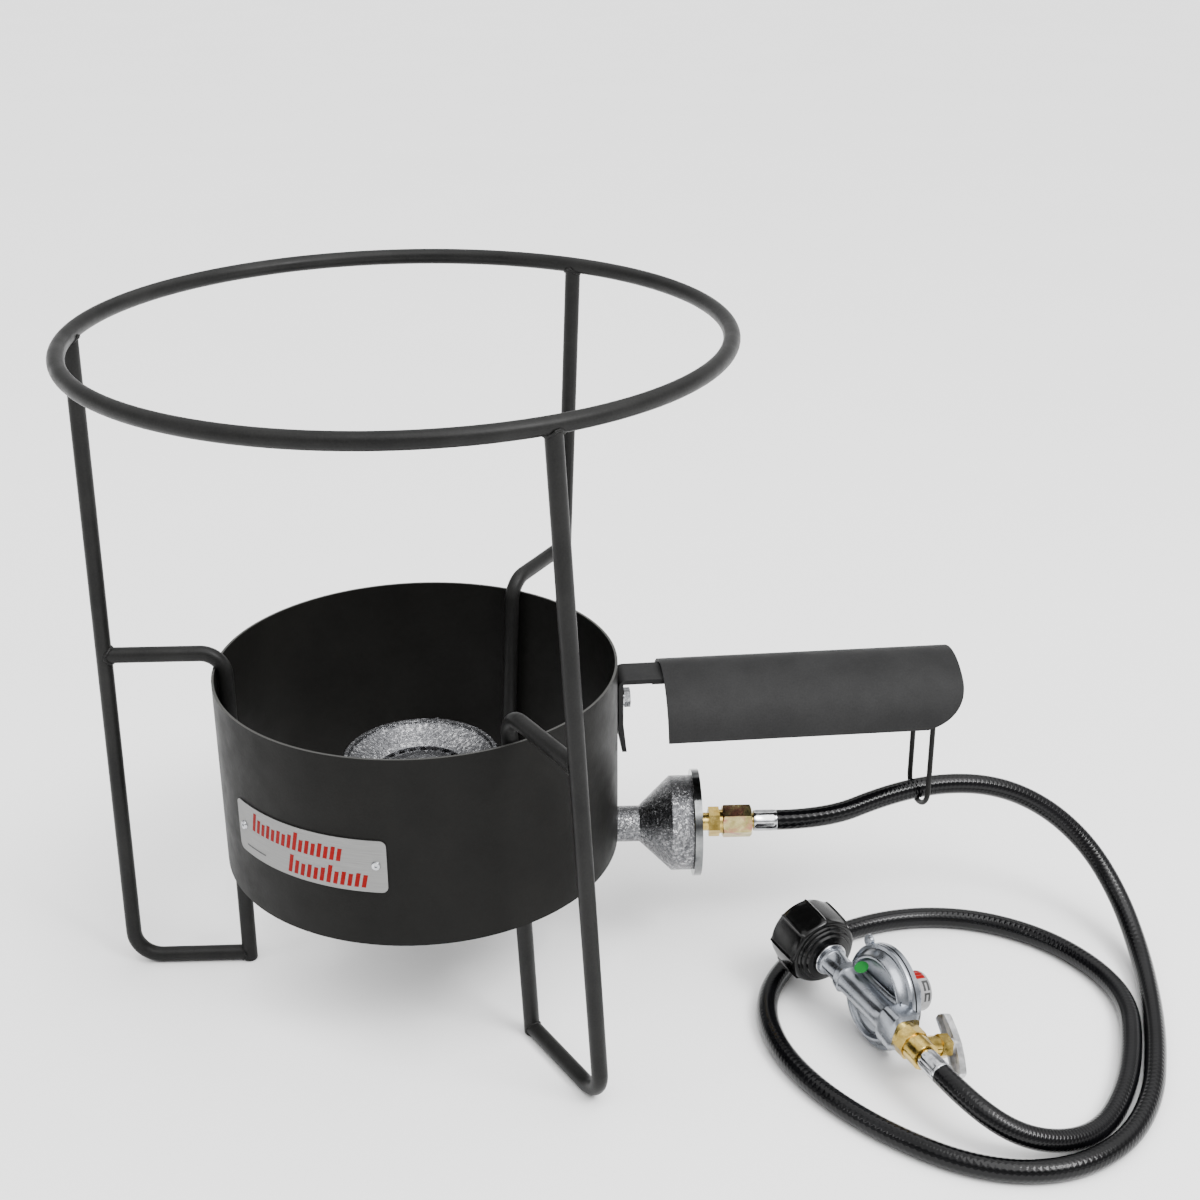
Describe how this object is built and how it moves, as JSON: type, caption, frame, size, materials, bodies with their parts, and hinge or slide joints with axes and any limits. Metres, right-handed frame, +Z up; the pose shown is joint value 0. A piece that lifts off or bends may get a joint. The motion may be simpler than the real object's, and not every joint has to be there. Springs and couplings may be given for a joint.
{
  "type": "propane burner stand",
  "caption": "Round-ring stand of bent steel bar with a cylindrical windshield, cast gas burner, hose guard, loose gas hose, ball valve and regulator with a hand nut.",
  "frame": {"origin": "on the floor, on the common axis of the pot ring and the windshield", "axes": "+Z up along the stand axis; +X along the burner mixing tube, towards the air shutter, hose guard and gas hose; +Y completes the right-handed set, away from the viewer"},
  "size_m": [0.6756, 0.4501, 0.4302],
  "materials": {
    "black_paint": "satin black enamel",
    "guard_paint": "matt charcoal black",
    "plate_metal": "brushed, with plain red and black printing",
    "zinc_steel": "bright zinc plate",
    "cast_iron": "sand-cast, bright silver coat",
    "cast_zinc": "die-cast zinc",
    "brass": "machined",
    "yellow_zinc": "yellow zinc plate",
    "hose_rubber": "glossy, with the braid showing through",
    "nut_plastic": "moulded black",
    "grey_casting": "die-cast, matt",
    "cap_plastic": "pale, with one plain red patch and plain black bars",
    "seal_rubber": "matt"
  },
  "bodies": {
    "stand": {"pot_ring": "black_paint", "leg_left": "black_paint", "leg_front": "black_paint", "leg_rear": "black_paint", "brace_left": "black_paint", "brace_front": "black_paint", "brace_rear": "black_paint", "windshield": "black_paint", "name_plate": "plate_metal", "plate_rivets": "zinc_steel", "guard_bracket": "guard_paint", "guard_lock_washer": "zinc_steel", "guard_bolt": "zinc_steel", "guard_nut": "zinc_steel", "hose_guard": "guard_paint", "hose_hanger": "black_paint", "burner_support": "black_paint", "burner_body": "cast_iron", "burner_cap": "cast_iron", "burner_bolt": "zinc_steel", "burner_washer": "zinc_steel", "orifice_fitting": "brass", "hose_stem": "brass", "burner_ferrule": "zinc_steel", "gas_hose": "hose_rubber", "inlet_fitting": "zinc_steel", "inlet_seal": "seal_rubber", "nut_retainer": "zinc_steel", "regulator_body": "grey_casting", "diaphragm": "seal_rubber", "diaphragm_plate": "zinc_steel", "regulator_bonnet": "grey_casting", "regulator_spring": "zinc_steel", "spring_screw": "cast_zinc", "bonnet_cap": "cap_plastic", "valve_body": "brass", "packing_nut": "brass", "valve_tail": "brass", "valve_ferrule": "zinc_steel"},
    "shutter": {"air_shutter": "cast_zinc"},
    "hose_nut": {"swivel_nut": "yellow_zinc"},
    "tank_connector": {"tank_nut": "nut_plastic"},
    "valve_handle": {"valve_ball": "brass", "valve_lever": "cast_zinc", "lever_screw": "zinc_steel"}
  },
  "joints": [
    {"name": "shutter_slide", "type": "slide", "parent": "stand", "child": "shutter", "axis": [1, 0, 0], "range_m": [0, 0.005]},
    {"name": "hose_nut_spin", "type": "hinge", "parent": "stand", "child": "hose_nut", "pos_m": [0.206, 0, 0.0908], "axis": [1, 0, 0], "continuous": true},
    {"name": "tank_nut_spin", "type": "hinge", "parent": "stand", "child": "tank_connector", "pos_m": [0.2484, -0.061, 0.0383], "axis": [0.4108, -0.9103, -0.0518], "continuous": true},
    {"name": "valve_turn", "type": "hinge", "parent": "stand", "child": "valve_handle", "pos_m": [0.29564, -0.16568, 0.03234], "axis": [0.8603, 0.4058, -0.3086], "range_deg": [-37, 53]}
  ]
}
